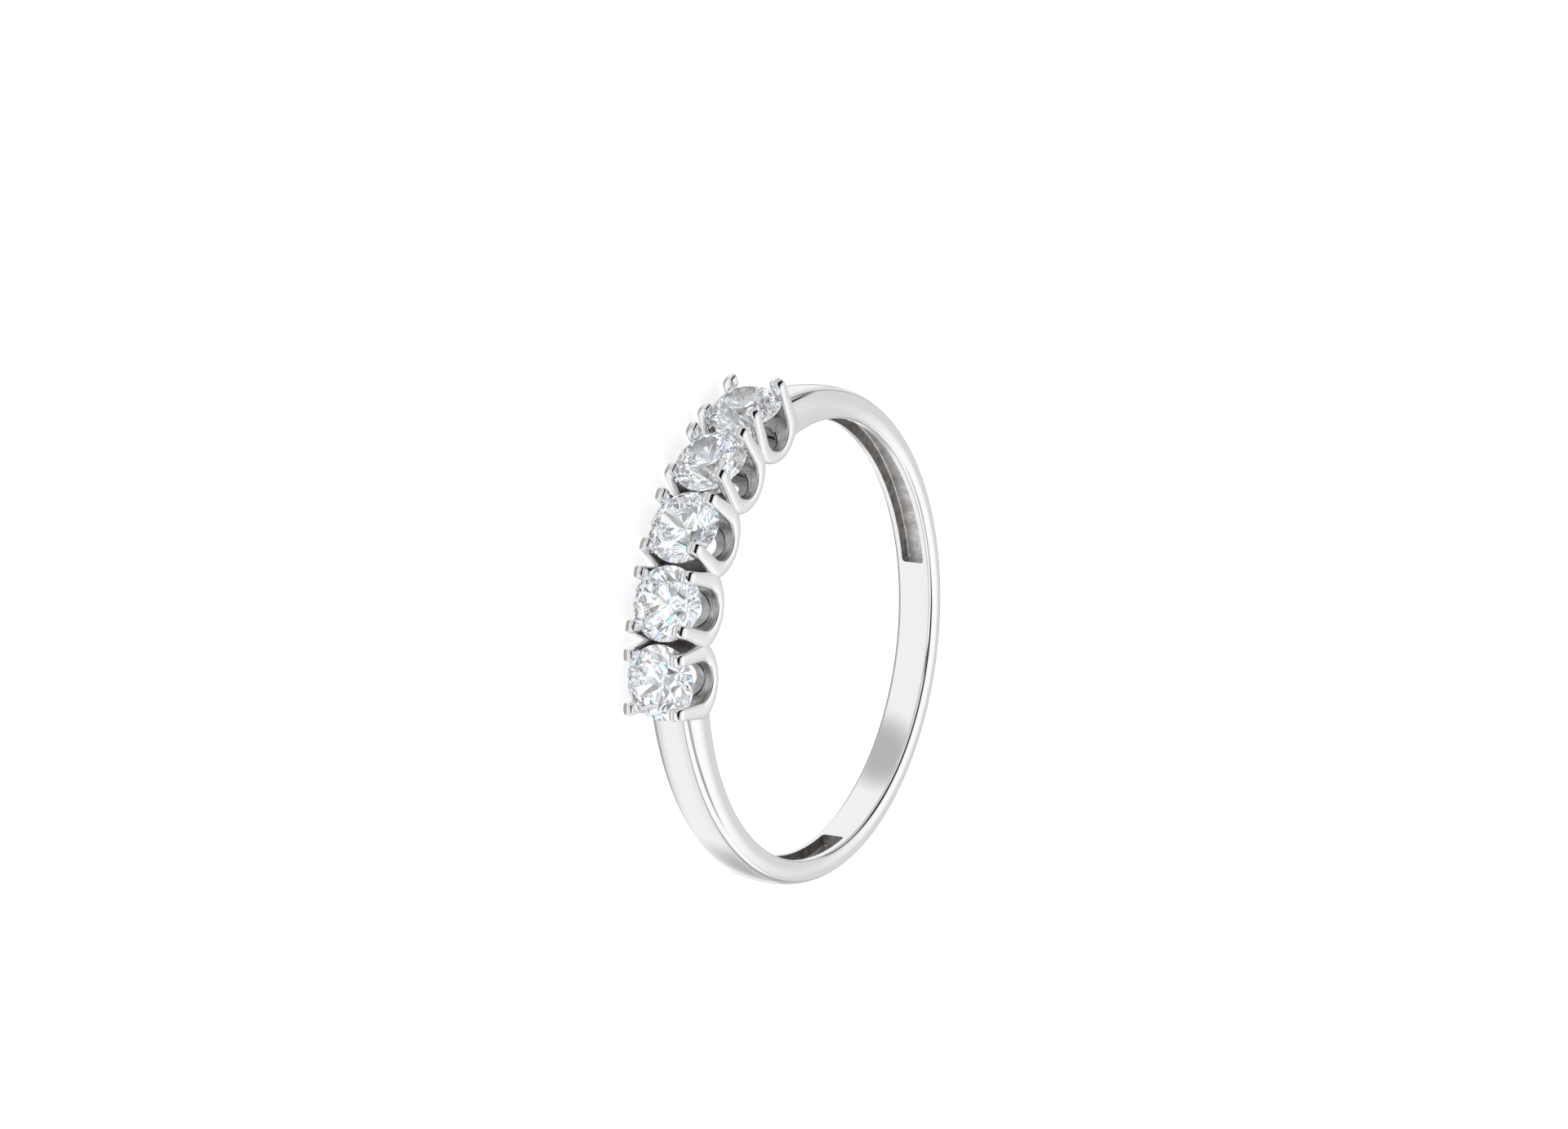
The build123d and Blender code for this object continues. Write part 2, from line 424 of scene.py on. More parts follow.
def finish_material(tree, output, values):
    """Put the one shader of a material on its output."""
    shader = add_node(tree, "ShaderNodeBsdfPrincipled", values)
    tree.links.new(shader.outputs[0], output.inputs[0])


def polished_metal(settings):
    """Mirror polished white metal, with the faint waviness and haze of polishing by hand."""
    material, tree, output = new_material("band_polish")
    place = add_node(tree, "ShaderNodeTexCoord").outputs["Object"]
    patches = noise(tree, place, scale=900.0, detail=3.0)
    haze = ramp(tree, patches, low=0.35, high=0.75, at_low=0.03, at_high=0.07)
    waves = noise(tree, place, scale=500.0)
    values = {
        "Base Color": (*settings.metal_colour, 1.0),
        "Metallic": 1.0,
        "Roughness": haze,
        "Normal": relief(tree, waves, strength=0.02, distance=0.02),
    }
    finish_material(tree, output, values)
    return material


def cast_metal(name, light, dark):
    """Cast metal left matt in the hollows, with grains, streaks and darker spots; given darker
    colours it makes the painted shade deep inside.
    """
    material, tree, output = new_material(name)
    place = add_node(tree, "ShaderNodeTexCoord").outputs["Object"]
    grains = noise(tree, place, scale=9000.0, detail=4.0)
    along = noise(tree, place, scale=3000.0, detail=3.0, stretch=(1.0, 1.0, 0.25))
    streaks = ramp(tree, along, low=0.3, high=0.7)
    patches = noise(tree, place, scale=2600.0, detail=4.0)
    spots = ramp(tree, patches, low=0.34, high=0.66)
    streak_share = 0.25
    spotted = calculate(tree, "MULTIPLY", spots, 1 - streak_share)
    shade = calculate(tree, "MULTIPLY_ADD", streaks, streak_share, spotted)
    streak_height = 2.0
    height = calculate(tree, "MULTIPLY_ADD", streaks, streak_height, grains)
    values = {
        "Base Color": blend_colour(tree, shade, (*dark, 1.0), (*light, 1.0)),
        "Metallic": 1.0,
        "Roughness": ramp(tree, grains, low=0.3, high=0.7, at_low=0.28, at_high=0.5),
        "Normal": relief(tree, height, strength=0.5, distance=0.008),
    }
    finish_material(tree, output, values)
    return material


def cut_stone(settings):
    """A clear stone, colourless but for a faint tint in patches."""
    material, tree, output = new_material("stone_clear")
    place = add_node(tree, "ShaderNodeTexCoord").outputs["Object"]
    patches = ramp(tree, noise(tree, place, scale=700.0), low=0.3, high=0.7)
    values = {
        "Base Color": blend_colour(tree, patches, (*settings.stone_tint, 1.0), (1.0, 1.0, 1.0, 1.0)),
        "Roughness": 0.0,
        "IOR": settings.stone_ior,
        "Transmission Weight": 1.0,
    }
    finish_material(tree, output, values)
    return material


class RingFinish(PropertyGroup):
    """The colours of the metal, of the painted shade deep inside it and of the stones"""

    metal_colour: paint("Metal", "Colour of the polished metal", (0.92, 0.92, 0.925))
    cast_light: paint("Cast, light", "Lighter cast metal", (0.80, 0.79, 0.78))
    cast_dark: paint("Cast, dark", "Darker cast metal", (0.56, 0.55, 0.54))
    # Painted shade: darker cast metal that stands in for the shade deep in the settings and the
    # band's hollows
    painted_shade_light: paint("Recess, light", "Lighter metal deep inside", (0.43, 0.41, 0.40))
    painted_shade_dark: paint("Recess, dark", "Darker metal deep inside", (0.24, 0.22, 0.21))
    stone_tint: paint("Stone tint", "The stones' faint tint", (0.985, 0.99, 1.0))
    stone_ior: amount("Light bending", "How far the stones bend light", 2.16)


def shared_material(name):
    """A material of the ring, made the first time that it is asked for."""
    settings = bpy.context.scene.ring_finish
    if name in bpy.data.materials:
        return bpy.data.materials[name]
    if name == "band_polish":
        return polished_metal(settings)
    if name == "stone_clear":
        return cut_stone(settings)
    # The cast metal in darker colours, as painted shade where shade falls deep inside
    if name == "band_recess":
        return cast_metal(name, settings.painted_shade_light, settings.painted_shade_dark)
    return cast_metal(name, settings.cast_light, settings.cast_dark)


# The band


def band_profile(sizes, wall, width, edge):
    """Points round a section of the band, each a depth from the finger and a place across."""
    half = width / 2
    soft = sizes.inner_edge
    crown = (half**2 + sizes.band_crown**2) / (2 * sizes.band_crown)
    crown_centre = wall + sizes.band_crown - crown
    edge_across = half - edge
    edge_from_crown = math.sqrt((crown - edge) ** 2 - edge_across**2)
    edge_turn = math.atan2(edge_across, edge_from_crown)
    side = []
    for step in range(SMALL_STEPS + 1):
        turn = QUARTER_TURN * step / SMALL_STEPS
        side.append((soft - soft * math.cos(turn), half - soft + soft * math.sin(turn)))
    edge_start = crown_centre + edge_from_crown
    for step in range(1, EDGE_STEPS):
        side.append((between(soft, edge_start, step / EDGE_STEPS), half))
    for step in range(EDGE_STEPS + 1):
        turn = between(QUARTER_TURN, edge_turn, step / EDGE_STEPS)
        depth = crown_centre + edge_from_crown + edge * math.cos(turn)
        side.append((depth, edge_across + edge * math.sin(turn)))
    middle = []
    for step in range(1, CROWN_STEPS):
        turn = between(edge_turn, -edge_turn, step / CROWN_STEPS)
        middle.append((crown_centre + crown * math.cos(turn), crown * math.sin(turn)))
    middle_depth = wall / 2
    for number, (depth, across) in enumerate(side):
        from_middle = min(1.0, abs(depth - middle_depth) / middle_depth)
        side[number] = (depth, across - sizes.side_dome * from_middle**2)
    other_side = [(depth, -across) for depth, across in reversed(side)]
    return side + middle + other_side


def straight_band(sizes):
    """The band before it is bent round the finger, as a straight bar one metre long.

    The bar has the section of the band's back all along. The attribute named shoulder
    holds the place that each point has in the section beside the settings.
    """
    back = band_profile(sizes, sizes.back_wall, sizes.back_width, sizes.back_edge)
    shoulder = band_profile(sizes, sizes.shoulder_wall, sizes.shoulder_width, sizes.shoulder_edge)
    sections = [
        [Vector((depth, across, step / BAND_STEPS)) for depth, across in back]
        for step in range(BAND_STEPS + 1)
    ]
    piece = joined_sections("band", [sections], lambda step, number: POLISHED)
    places = piece.data.attributes.new("shoulder", "FLOAT_VECTOR", "POINT").data
    for number, place in enumerate(places):
        place.vector = (*shoulder[number % len(shoulder)], 0)
    return piece


def hollow_sections(shape, side):
    """Sections of the room of the hollow in one half of the band."""
    sizes = shape.sizes
    corner = sizes.hollow_corner
    half = sizes.hollow_width / 2
    roof = shape.bore + sizes.hollow_depth
    soft = corner / 2
    stations = []
    for step in range(EDGE_STEPS + 1):
        turn = QUARTER_TURN * step / EDGE_STEPS
        along = corner * (1 - math.cos(turn)) / shape.bore
        stations.append((along, half - corner * (1 - math.sin(turn))))
    last = sizes.hollow_end - sizes.hollow_start
    first_straight = stations[-1][0]
    ends = list(stations)
    for step in range(1, HOLLOW_STEPS):
        stations.append((between(first_straight, last - first_straight, step / HOLLOW_STEPS), half))
    stations.extend((last - turn, width) for turn, width in reversed(ends))
    inside = shape.bore - half
    leans = [QUARTER_TURN * step / SMALL_STEPS for step in range(SMALL_STEPS + 1)]
    sections = []
    for turn, width in stations:
        turn += sizes.hollow_start
        points = [(inside, -width), (inside, width)]
        for lean in leans:
            radius = roof - soft + soft * math.sin(lean)
            points.append((radius, width - soft + soft * math.cos(lean)))
        for lean in leans:
            radius = roof - soft + soft * math.cos(lean)
            points.append((radius, soft - width - soft * math.sin(lean)))
        sections.append(
            [
                Vector((side * radius * math.sin(turn), -radius * math.cos(turn), across))
                for radius, across in points
            ]
        )
    return sections


def bending_tree():
    """Geometry Nodes that bend the straight bar round the finger, thin it and hollow it."""
    inputs = {
        "Bore": "Float",
        "Start": "Float",
        "Wall Fall": "Float",
        "Width Fall": "Float",
        "Hollows": "Object",
    }
    tree, start, end = new_geometry_tree("bent_band", inputs)
    given = start.outputs
    place = tree.nodes.new("GeometryNodeInputPosition").outputs[0]
    depth, across, share = split(tree, place)
    from_back = calculate(tree, "ABSOLUTE", calculate(tree, "MULTIPLY_ADD", share, -2.0, 1.0))
    wall_share = calculate(tree, "POWER", from_back, given["Wall Fall"])
    width_share = calculate(tree, "POWER", from_back, given["Width Fall"])
    shoulder = split(tree, stored(tree, "shoulder", "FLOAT_VECTOR"))
    deeper = calculate(tree, "SUBTRACT", shoulder[0], depth)
    depth = calculate(tree, "MULTIPLY_ADD", deeper, wall_share, depth)
    radius = calculate(tree, "ADD", given["Bore"], depth)
    wider = calculate(tree, "SUBTRACT", shoulder[1], across)
    across = calculate(tree, "MULTIPLY_ADD", wider, width_share, across)
    half_sweep = calculate(tree, "SUBTRACT", math.pi, given["Start"])
    sweep = calculate(tree, "MULTIPLY", half_sweep, 2.0)
    turn = calculate(tree, "MULTIPLY_ADD", share, sweep, given["Start"])
    x = calculate(tree, "MULTIPLY", radius, calculate(tree, "SINE", turn))
    y = calculate(tree, "MULTIPLY", radius, calculate(tree, "COSINE", turn))
    y = calculate(tree, "MULTIPLY", y, -1.0)
    values = {"Geometry": given["Geometry"], "Position": join(tree, x, y, across)}
    bent = add_node(tree, "GeometryNodeSetPosition", values).outputs[0]
    hollows = other_piece(tree, given["Hollows"])
    finish_tree(tree, start, end, cut_out(tree, bent, [hollows]))
    return tree


class RING_OT_band(Operator):
    """Make the band, bent round the finger and hollowed on the finger's side"""

    bl_idname = "ring.band"
    bl_label = "Band"

    def execute(self, context):
        sizes = context.scene.ring_sizes
        shape = Shape(sizes)
        piece = straight_band(sizes)
        rooms = [hollow_sections(shape, 1), hollow_sections(shape, -1)]
        last = len(rooms[0][0]) - 1

        def finish_or_shade_of(step, number):
            """Painted shade on the hollows' two side walls, and cast on their roofs and ends."""
            return PAINTED_SHADE if number in (1, last) else CAST

        hollows = joined_sections("hollows", rooms, finish_or_shade_of)
        values = {
            "Bore": shape.bore,
            "Start": shape.band_start,
            "Wall Fall": sizes.wall_fall,
            "Width Fall": sizes.width_fall,
            "Hollows": hollows,
        }
        use_tree(piece, bending_tree(), values)
        make_plain(piece)
        remove(hollows)
        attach(piece, "root")
        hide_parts("ring_band")
        return {"FINISHED"}


# The settings

# How square the section of a claw, leg or wall is: 2 for an oval, and more for squarer ones
SQUARENESS = 3.9

# The power by which the inside of a claw's bend falls later than its outside
LATE_BEND = 1.5

# The depth under the notch, in joints, over which a setting grows into the next one
JOINT_FALL = 4

# How often the reach of a side wall is fitted again to the edge that it meets
REACH_TRIES = 4

# The part of the step at the bottom of the bowl that is cut a little wider
UNDERCUT_SHARE = 0.7

# How far over the bowl's flat bottom the next section of the room lies
HAIR = 0.001 * MM

# The groove round the bowl: its height in steps of the bowl, how far it lies outside the
# bowl's lower wall in its own widths, and the share of a division that its ends lie apart
GROOVE_HEIGHT = 4
GROOVE_OFFSET = 0.2
GROOVE_SLIT = 0.01


def front_place(shape, along, height, across):
    """A point of the front setting: along the row, above the finger and along the ring's axis."""
    return Vector((along, -(shape.bore + height), across))


def round_place(shape, radius, turn, height):
    """A point of the front setting at a radius and a turn about its stone's axis."""
    return front_place(shape, radius * math.cos(turn), height, radius * math.sin(turn))


def soft_section(inside, outside, aside):
    """A bar's section with soft corners between an inside and an outside point.

    It starts at the side that aside points to and runs from there towards the outside.
    """
    middle = (inside + outside) / 2
    out = (outside - inside) / 2
    points = []
    for number in range(SECTION_POINTS):
        turn = math.tau * number / SECTION_POINTS
        x = math.copysign(abs(math.cos(turn)) ** (2 / SQUARENESS), math.cos(turn))
        y = math.copysign(abs(math.sin(turn)) ** (2 / SQUARENESS), math.sin(turn))
        points.append(middle + aside * x + out * y)
    return points


def side_edge(shape, height):
    """The outer edge of a side wall at a height, along the row."""
    joint = shape.sizes.joint
    joint *= smooth((shape.notch - height) / joint / JOINT_FALL)
    if height <= shape.notch:
        return shape.half_way(height) + joint
    share = (height - shape.notch) / (shape.claw_low - shape.notch)
    return between(shape.half_way(shape.notch), shape.claw_side, min(1.0, share))


def window_edge(shape, height):
    """The edge of the window above its round bottom at a height, along the row."""
    share = (height - shape.spring) / (shape.claw_top - shape.spring)
    return between(shape.rim, shape.window - shape.sizes.leg_lean, share)


def claw_section(shape, inside, outside, shrink=1.0):
    """A section of a claw or leg between two points, each a height and a place across."""
    low, high = inside[0], outside[0]
    near = (window_edge(shape, low) + window_edge(shape, high)) / 2
    far = (side_edge(shape, low) + side_edge(shape, high)) / 2
    centre = (near + far) / 2
    first = front_place(shape, centre, *inside)
    last = front_place(shape, centre, *outside)
    middle = (first + last) / 2
    half = (last - first) / 2 * shrink
    return soft_section(middle - half, middle + half, Vector(((far - near) / 2 * shrink, 0, 0)))


def claw_sections(shape):
    """Sections from a claw's tip over its bend and down its leg to the window's round bottom."""
    sizes = shape.sizes
    sections = []
    tip_share = 1 - sizes.tip_round / (sizes.leg_width / 2)
    for step in range(TIP_STEPS + 1):
        turn = QUARTER_TURN * step / TIP_STEPS
        place = shape.tip + sizes.tip_round * (1 - math.cos(turn))
        shrink = between(tip_share, 1.0, math.sin(turn))
        inside = (shape.claw_low, place)
        outside = (shape.claw_top, place)
        sections.append(claw_section(shape, inside, outside, shrink))
    place = shape.tip + sizes.tip_round
    bend_low = shape.claw_low - sizes.claw_bend
    for step in range(1, BEND_STEPS + 1):
        share = step / BEND_STEPS
        turn = QUARTER_TURN * share
        inside = (
            between(shape.claw_low, bend_low, share**LATE_BEND),
            between(place, shape.inner, share),
        )
        outside = (
            shape.claw_top - sizes.claw_bend * (1 - math.cos(turn)),
            max(place, shape.outer - sizes.claw_bend * (1 - math.sin(turn))),
        )
        sections.append(claw_section(shape, inside, outside))
    for step in range(1, LEG_STEPS + 1):
        share = step / LEG_STEPS
        inside = (between(bend_low, shape.spring, share), shape.inner)
        outside = (between(shape.claw_top - sizes.claw_bend, shape.spring, share), shape.outer)
        sections.append(claw_section(shape, inside, outside))
    return sections


def window_reach(shape, turn):
    """How far a side wall reaches from the middle of the window's round bottom at a turn."""
    rise = shape.sizes.scallop
    half = shape.half_way(rise)
    scallop = (half**2 + rise**2) / (2 * rise)
    offset = scallop - shape.spring
    x, y = math.cos(turn), -math.sin(turn)
    reach = offset * y + math.sqrt(scallop**2 - (offset * x) ** 2)
    for _ in range(REACH_TRIES):
        edge = side_edge(shape, shape.spring + reach * y)
        if abs(x) * reach > edge:
            reach = edge / abs(x)
    return reach


def wall_sections(shape):
    """Sections of a side wall: a claw, its leg, round the window's bottom, a leg and a claw."""
    half_run = claw_sections(shape)
    thick = Vector((0, 0, (shape.outer - shape.inner) / 2))
    level = (shape.outer + shape.inner) / 2
    bottom = []
    for step in range(1, WINDOW_STEPS):
        turn = math.pi * step / WINDOW_STEPS
        way = Vector((math.cos(turn), math.sin(turn), 0))
        centre = front_place(shape, 0, shape.spring, level)
        near = centre + way * shape.rim
        far = centre + way * window_reach(shape, turn)
        middle = (near + far) / 2
        bottom.append(soft_section(middle - thick, middle + thick, (far - near) / 2))
    other = [
        [Vector((-point.x, point.y, point.z)) for point in section]
        for section in reversed(half_run)
    ]
    return half_run + bottom + other


def seat_block(shape):
    """The cast block between a setting's side walls, open along the window."""
    sizes = shape.sizes
    rise = sizes.scallop
    half = shape.half_way(rise) + sizes.stone_gap
    scallop = (half**2 + rise**2) / (2 * rise)
    valley = shape.notch - sizes.valley_depth
    spread = math.asin(half / scallop)
    outline = []
    for step in range(CROWN_STEPS + 1):
        turn = between(-spread, spread, step / CROWN_STEPS)
        outline.append((scallop * math.sin(turn), scallop * (1 - math.cos(turn))))
    outline.append((shape.half_way(valley) + sizes.stone_gap, valley))
    outline.append((shape.half_way(shape.notch) - sizes.valley_depth, shape.notch))
    outline.append((shape.window, shape.notch))
    window_start = len(outline) - 1
    for step in range(WINDOW_STEPS + 1):
        turn = math.pi * step / WINDOW_STEPS
        along = shape.window * math.cos(turn)
        outline.append((along, shape.spring - shape.window * math.sin(turn)))
    window_end = len(outline) - 1
    outline.append((-shape.window, shape.notch))
    outline.append((sizes.valley_depth - shape.half_way(shape.notch), shape.notch))
    outline.append((-shape.half_way(valley) - sizes.stone_gap, valley))
    level = (shape.outer + shape.inner) / 2
    sections = [
        [front_place(shape, along, height, across) for along, height in outline]
        for across in (-level, level)
    ]

    def finish_or_shade_of(step, number):
        """Polished under the setting, cast in the window and painted shade in the valley between two
        settings.
        """
        if number < CROWN_STEPS:
            return POLISHED
        return CAST if window_start <= number < window_end else PAINTED_SHADE

    return joined_sections("seat_block", [sections], finish_or_shade_of)


def room_radius(shape, height):
    """The radius of the room for a stone, its bowl and its drain at a height."""
    sizes = shape.sizes
    seat = shape.stone + sizes.stone_gap
    half_girdle = sizes.girdle / 2
    radius = sizes.drain / 2
    floor = sizes.window_floor - sizes.bowl_step
    bowl = shape.window + sizes.bowl_wall
    bowl_middle = shape.girdle - sizes.bowl_under
    if floor < height < bowl_middle:
        undercut_top = floor + sizes.bowl_step * UNDERCUT_SHARE
        undercut = sizes.stone_gap if height < undercut_top else 0.0
        radius = max(radius, shape.window + undercut)
    if abs(height - bowl_middle) < bowl:
        radius = max(radius, math.sqrt(bowl**2 - (height - bowl_middle) ** 2))
    if height < shape.girdle:
        under = shape.girdle - half_girdle - height
        return max(radius, min(seat, seat - under / shape.pavilion_slope))
    over = height - (shape.girdle + half_girdle + sizes.stone_gap)
    return min(seat, seat - over / shape.crown_slope)


def stone_room(shape):
    """The room that is cut for a stone, its bowl and its drain, turned about the stone's axis."""
    sizes = shape.sizes
    floor = sizes.window_floor - sizes.bowl_step
    table = (1 - sizes.table_share) * shape.stone * shape.crown_slope
    top = shape.girdle + sizes.girdle / 2 + table
    heights = [-sizes.scallop, floor]
    for step in range(ROOM_STEPS + 1):
        heights.append(between(floor, top, step / ROOM_STEPS) + HAIR)
    circle = [math.tau * number / ROUND_POINTS for number in range(ROUND_POINTS)]
    sections = []
    for height in heights:
        radius = room_radius(shape, height)
        sections.append([round_place(shape, radius, turn, height) for turn in circle])
    return joined_sections("stone_room", [sections], lambda step, number: CAST)


def bowl_groove(shape):
    """The narrow groove that the cutter leaves round the bottom of the bowl."""
    sizes = shape.sizes
    low = sizes.window_floor - sizes.bowl_step
    high = low + GROOVE_HEIGHT * sizes.bowl_step
    near = shape.window + sizes.groove * GROOVE_OFFSET
    far = near + sizes.groove
    corners = ((near, low), (far, low), (far, high), (near, high))
    sections = []
    for number in range(ROUND_POINTS):
        turn = math.tau * number / (ROUND_POINTS - 1 + GROOVE_SLIT)
        sections.append([round_place(shape, radius, turn, height) for radius, height in corners])
    # The groove's faces take the painted shade, which darkens the line further
    return joined_sections("bowl_groove", [sections], lambda step, number: PAINTED_SHADE)


def setting_tree():
    """Geometry Nodes that make a whole setting from one side wall and repeat it along the row."""
    inputs = {
        "Count": "Int",
        "Half Pitch": "Float",
        "Block": "Object",
        "Room": "Object",
        "Groove": "Object",
    }
    tree, start, end = new_geometry_tree("row_of_settings", inputs)
    given = start.outputs
    values = {"Geometry": given["Geometry"], "Scale": (1.0, 1.0, -1.0)}
    mirrored = add_node(tree, "GeometryNodeTransform", values).outputs[0]
    outward = add_node(tree, "GeometryNodeFlipFaces", {0: mirrored}).outputs[0]
    walls = tree.nodes.new("GeometryNodeJoinGeometry")
    for wall in (given["Geometry"], outward):
        tree.links.new(wall, walls.inputs[0])
    block = other_piece(tree, given["Block"])
    room = other_piece(tree, given["Room"])
    groove = other_piece(tree, given["Groove"])
    setting = tree.nodes.new("GeometryNodeJoinGeometry")
    for body, rooms in ((walls.outputs[0], [room]), (block, [room, groove])):
        tree.links.new(cut_out(tree, body, rooms), setting.inputs[0])
    points = add_node(tree, "GeometryNodePoints", {"Count": given["Count"]}).outputs[0]
    number = tree.nodes.new("GeometryNodeInputIndex").outputs[0]
    middle = calculate(tree, "MULTIPLY_ADD", given["Count"], -0.5, 0.5)
    pitch = calculate(tree, "MULTIPLY", given["Half Pitch"], 2.0)
    turn = calculate(tree, "MULTIPLY", calculate(tree, "ADD", number, middle), pitch)
    values = {
        "Points": points,
        "Instance": setting.outputs[0],
        "Rotation": join(tree, 0.0, 0.0, turn),
    }
    row = add_node(tree, "GeometryNodeInstanceOnPoints", values).outputs[0]
    finish_tree(tree, start, end, row)
    return tree


class RING_OT_settings(Operator):
    """Make one setting with its claws and repeat it along the row"""

    bl_idname = "ring.settings"
    bl_label = "Settings"

    def execute(self, context):
        sizes = context.scene.ring_sizes
        shape = Shape(sizes)
        first_leg = TIP_STEPS + BEND_STEPS
        last_leg = first_leg + 2 * LEG_STEPS + WINDOW_STEPS

        def finish_or_shade_of(step, number):
            """Cast where a side wall looks into its window and painted shade where it looks inwards.
            """
            if not first_leg < step < last_leg:
                return POLISHED
            window_side, inward, half_a_side = 1 / 2, 3 / 4, 1 / 8
            turn = (number + 0.5) / SECTION_POINTS
            if abs(turn - window_side) < half_a_side:
                return CAST
            return PAINTED_SHADE if abs(turn - inward) < half_a_side else POLISHED

        piece = joined_sections("settings", [wall_sections(shape)], finish_or_shade_of)
        block = seat_block(shape)
        room = stone_room(shape)
        groove = bowl_groove(shape)
        values = {
            "Count": sizes.stone_count,
            "Half Pitch": shape.half_pitch,
            "Block": block,
            "Room": room,
            "Groove": groove,
        }
        use_tree(piece, setting_tree(), values)
        make_plain(piece)
        for helper in (block, room, groove):
            remove(helper)
        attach(piece, "root")
        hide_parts("ring_band")
        return {"FINISHED"}


class RING_OT_stones(Operator):
    """Finish the stones"""

    bl_idname = "ring.stones"
    bl_label = "Stones"

    def execute(self, context):
        for name in STONES:
            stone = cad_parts[name]
            stone.data.materials.clear()
            stone.data.materials.append(shared_material("stone_clear"))
        return {"FINISHED"}


# The studio

# The camera: the point it looks at and its distance from it, both in millimetres, and its
# place on the sky and its roll, in degrees
CAMERA_AIM = (-2.403, -1.543, -1.055)
CAMERA_DISTANCE = 172.137
CAMERA_PLACE = (20.323, 30.130)
CAMERA_ROLL = 96.177
FOCAL_LENGTH = 100
SENSOR_WIDTH = 36

# How often a ray may bounce, which the stones' many faces need
BOUNCES = 32

# The floor's radius in metres and its corners
FLOOR_RADIUS = 3.0
FLOOR_CORNERS = 96

# The direction that the dark gap in the tent bends round
GAP_MIDDLE = (-0.016, 0.643, 0.765)


class StudioSettings(PropertyGroup):
    """The brightness of the studio and of what the stones show"""

    stone_light: amount("Stone light", "Brightness of the light places that the stones show", 1.18)
    stone_dark: amount("Stone dark", "Brightness of the dark places that the stones show", 0.36)
    stone_lens: amount("Stone lens", "Brightness of the camera's place in the stones", 0.15)
    cool_sparks: amount("Cool sparks", "Brightness of the bluish sparks in the stones", 0.9)
    warm_sparks: amount("Warm sparks", "Brightness of the reddish sparks in the stones", 0.6)
    fire: amount("Fire", "How far the stones split light", 0.026)
    table: amount("Table", "Brightness of the table", 0.95)
    tent: amount("Tent", "Brightness of the tent over the ring", 0.72)
    under: amount("Under", "Brightness straight under the ring", 0.42)
    floor: amount("Floor", "Glow of the floor", 0.66)


def sky_direction(azimuth, elevation):
    """A direction from its azimuth, from -Y towards +X, and its elevation, in degrees."""
    around, up = math.radians(azimuth), math.radians(elevation)
    return Vector((math.sin(around) * math.cos(up), -math.cos(around) * math.cos(up), math.sin(up)))


def nearness(tree, direction, towards):
    """How near a direction comes to another: 1 where it meets it and 0 at a right angle."""
    values = {0: direction, 1: towards}
    node = add_node(tree, "ShaderNodeVectorMath", values, operation="DOT_PRODUCT")
    return node.outputs["Value"]


def direction_glow(tree, direction, towards, inner, outer):
    """1 within an angle of a direction of the sky and 0 beyond a larger one, in degrees."""
    near = nearness(tree, direction, Vector(towards).normalized())
    return ramp(tree, near, math.cos(math.radians(outer)), math.cos(math.radians(inner)))


def lit_place(tree, level, limits, value):
    """A sky's level with another value where every limit is passed, each from outside to inside."""
    share = 1.0
    for measure, outside, inside in limits:
        share = calculate(tree, "MULTIPLY", share, ramp(tree, measure, outside, inside))
    return blend(tree, share, level, value)


def colour_of(tree, parts):
    """A colour put together from its red, green and blue."""
    values = dict(enumerate(parts))
    return add_node(tree, "ShaderNodeCombineColor", values).outputs[0]


def metal_sky(tree, direction, settings, back):
    """What the metal mirrors: a white tent over a whiter table, with darker and lighter places."""
    aside, forward, height = split(tree, direction)
    level = ramp(tree, height, -0.42, -0.12, settings.table, settings.tent)
    level = blend(tree, ramp(tree, height, -0.6, -0.85), level, settings.under)
    # Round places: a direction, the angles from it where fading starts and ends, a brightness
    places = (
        (sky_direction(-172, 58), 18.0, 34.0, 1.05),
        (sky_direction(-39, -31), 2.0, 23.0, 0.5),
        (sky_direction(158, -15), 5.0, 26.0, 0.48),
        (-back, 2.0, 18.0, 0.4),
        (back, 9.0, 14.0, 0.02),
    )
    for towards, inner, outer, value in places:
        level = blend(tree, direction_glow(tree, direction, towards, inner, outer), level, value)
    near_gap = nearness(tree, direction, GAP_MIDDLE)
    # Places within limits: each limit is a measure and its values just outside and inside
    seam = ((height, -0.06, 0.0), (height, 0.1, 0.04))
    panel = ((aside, 0.25, 0.4), (height, 0.1, 0.2), (height, 0.66, 0.6))
    panel_edge = ((aside, 0.2, 0.35), (height, 0.66, 0.71), (height, 0.86, 0.8))
    gap = (
        (near_gap, 0.08, 0.14),
        (near_gap, 0.64, 0.61),
        (aside, 0.62, 0.45),
        (aside, -0.98, -0.86),
        (forward, 0.5, 0.38),
        (height, -0.1, 0.05),
    )
    for limits, value in ((seam, 0.3), (panel, 1.05), (panel_edge, 0.4), (gap, 0.01)):
        level = lit_place(tree, level, limits, value)
    return level


def stone_sky(tree, direction, settings, back):
    """What the stones show: light and dark patches with sparks, and the camera's dark place.

    The limits of the patches and sparks lie a little apart for red, green and blue, which
    gives their edges the colours of split light.
    """
    patches = noise(tree, direction, scale=6.0, detail=3.0)
    lens = direction_glow(tree, direction, back, 5.0, 9.0)
    sparks = noise(tree, direction, scale=16.0, detail=0.0)
    parts = []
    for spread in (1, 0, -1):
        shift = spread * settings.fire
        low, high = 0.4 + shift / 4, 0.57 + shift / 4
        glow = ramp(tree, patches, low, high, settings.stone_dark, settings.stone_light)
        cool = ramp(tree, sparks, 0.66 + shift, 0.72 + shift, 0.0, settings.cool_sparks)
        warm = ramp(tree, sparks, 0.32 + shift / 2, 0.24 + shift / 2, 0.0, settings.warm_sparks)
        glow = calculate(tree, "ADD", glow, calculate(tree, "ADD", cool, warm))
        parts.append(blend(tree, lens, glow, settings.stone_lens))
    return colour_of(tree, parts)


